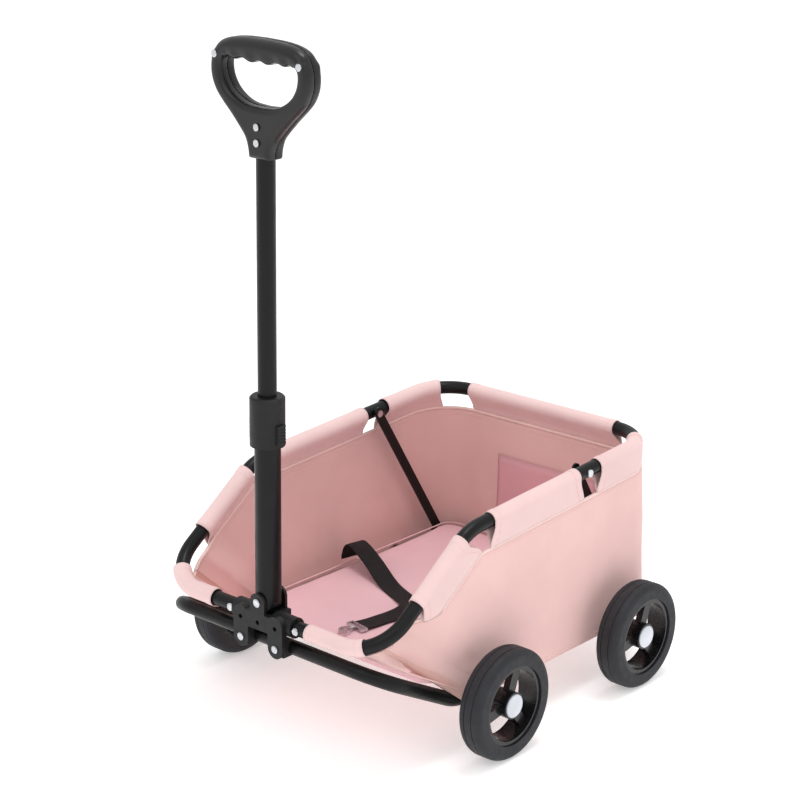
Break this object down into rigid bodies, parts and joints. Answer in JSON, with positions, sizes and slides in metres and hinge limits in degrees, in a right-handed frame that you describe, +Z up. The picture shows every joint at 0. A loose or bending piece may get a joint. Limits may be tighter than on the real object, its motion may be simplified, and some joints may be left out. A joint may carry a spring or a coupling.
{
  "type": "wagon with pull handle",
  "caption": "Small folding four-wheel wagon with a fabric tub, a tube rim held by two braces, and a telescoping pull handle with a D-shaped grip.",
  "frame": {"origin": "on the ground, under the centre of the wagon's bounding box", "axes": "+Z up, -Y towards the handle, +X to the right seen from the handle"},
  "size_m": [0.442, 0.5033, 0.7705],
  "materials": {
    "tube_black": "satin black powder coat",
    "moulded_black": "matte moulded",
    "bare_steel": "zinc plated",
    "tub_cloth": "fine plain weave, pink",
    "mat_cloth": "fine plain weave, mauve pink",
    "webbing": "ribbed black webbing",
    "board": "hollow board",
    "tyre": "satin foam rubber",
    "wheel_plastic": "gloss black",
    "hub_cap": "smooth pale lilac"
  },
  "bodies": {
    "base": {"base_frame": "tube_black", "base_joiner": "tube_black", "front_bracket": "moulded_black", "bracket_rivets": "bare_steel", "pole_hinge_rivet": "bare_steel", "front_axle": "bare_steel", "rear_axle": "bare_steel", "axle_spacers": "moulded_black", "axle_clips": "bare_steel", "brace_pins": "bare_steel", "tub_bottom": "tub_cloth", "floor_board": "board", "floor_mat": "mat_cloth", "left_wall": "tub_cloth", "right_wall": "tub_cloth", "front_panel": "tub_cloth", "rear_wall": "tub_cloth", "leash_strap": "webbing", "snap_hook": "bare_steel"},
    "hook_gate": {"hook_gate": "bare_steel"},
    "rim": {"rim_tube": "tube_black", "rim_joiner": "tube_black", "rim_rivets": "bare_steel", "brace_studs": "bare_steel", "sleeve_front_left": "tub_cloth", "sleeve_front_right": "tub_cloth", "sleeve_slope_left": "tub_cloth", "sleeve_slope_right": "tub_cloth", "sleeve_side_left": "tub_cloth", "sleeve_side_right": "tub_cloth", "sleeve_corner_left": "tub_cloth", "sleeve_corner_right": "tub_cloth", "sleeve_back": "tub_cloth"},
    "brace_left": {"brace_left": "tube_black"},
    "brace_right": {"brace_right": "tube_black"},
    "pole_lower": {"lower_pole_tube": "tube_black", "pole_plug": "moulded_black", "pole_collar": "moulded_black", "button_springs": "bare_steel"},
    "pole_upper": {"upper_pole_tube": "tube_black", "slide_bush": "moulded_black", "grip_front": "moulded_black", "grip_rear": "moulded_black", "grip_screws": "bare_steel"},
    "button_left": {"button_left": "moulded_black"},
    "button_right": {"button_right": "moulded_black"},
    "wheel_front_left": {"tyre_front_left": "tyre", "wheel_front_left": "wheel_plastic", "hub_cap_front_left": "hub_cap"},
    "wheel_front_right": {"tyre_front_right": "tyre", "wheel_front_right": "wheel_plastic", "hub_cap_front_right": "hub_cap"},
    "wheel_rear_left": {"tyre_rear_left": "tyre", "wheel_rear_left": "wheel_plastic", "hub_cap_rear_left": "hub_cap"},
    "wheel_rear_right": {"tyre_rear_right": "tyre", "wheel_rear_right": "wheel_plastic", "hub_cap_rear_right": "hub_cap"}
  },
  "joints": [
    {"name": "rim_fold", "type": "hinge", "parent": "base", "child": "rim", "pos_m": [0, -0.2343, 0.151], "axis": [-1, 0, 0], "range_deg": [0, 20], "deforming": ["left_wall", "right_wall", "rear_wall", "front_panel"]},
    {"name": "brace_left_fold", "type": "hinge", "parent": "base", "child": "brace_left", "pos_m": [-0.15085, 0.2177, 0.084], "axis": [1, 0, 0], "range_deg": [0, 58.7]},
    {"name": "brace_right_fold", "type": "hinge", "parent": "base", "child": "brace_right", "pos_m": [0.15085, 0.2177, 0.084], "axis": [1, 0, 0], "range_deg": [0, 58.7]},
    {"name": "pole_swing", "type": "hinge", "parent": "base", "child": "pole_lower", "pos_m": [0, -0.2323, 0.172], "axis": [0, 1, 0], "range_deg": [-60, 60]},
    {"name": "pole_slide", "type": "slide", "parent": "pole_lower", "child": "pole_upper", "axis": [0.0192, 0, 0.9998], "range_m": [-0.165, 0]},
    {"name": "button_left_press", "type": "slide", "parent": "pole_lower", "child": "button_left", "axis": [0.9998, 0, -0.0192], "range_m": [0, 0.0025], "stiffness_N_per_m": 300, "springref_m": -0.001},
    {"name": "button_right_press", "type": "slide", "parent": "pole_lower", "child": "button_right", "axis": [-0.9998, 0, 0.0192], "range_m": [0, 0.0025], "stiffness_N_per_m": 300, "springref_m": -0.001},
    {"name": "gate_slide", "type": "slide", "parent": "base", "child": "hook_gate", "axis": [0.1736, 0.9848, 0], "range_m": [0, 0.006], "stiffness_N_per_m": 100, "springref_m": -0.001},
    {"name": "wheel_front_left_spin", "type": "hinge", "parent": "base", "child": "wheel_front_left", "pos_m": [-0.206, -0.0833, 0.0625], "axis": [1, 0, 0], "continuous": true},
    {"name": "wheel_front_right_spin", "type": "hinge", "parent": "base", "child": "wheel_front_right", "pos_m": [0.206, -0.0833, 0.0625], "axis": [1, 0, 0], "continuous": true},
    {"name": "wheel_rear_left_spin", "type": "hinge", "parent": "base", "child": "wheel_rear_left", "pos_m": [-0.206, 0.1577, 0.0625], "axis": [1, 0, 0], "continuous": true},
    {"name": "wheel_rear_right_spin", "type": "hinge", "parent": "base", "child": "wheel_rear_right", "pos_m": [0.206, 0.1577, 0.0625], "axis": [1, 0, 0], "continuous": true}
  ],
  "couplings": [
    {"joint": "brace_left_fold", "follows": "rim_fold", "ratio": 2.935},
    {"joint": "brace_right_fold", "follows": "rim_fold", "ratio": 2.935}
  ]
}
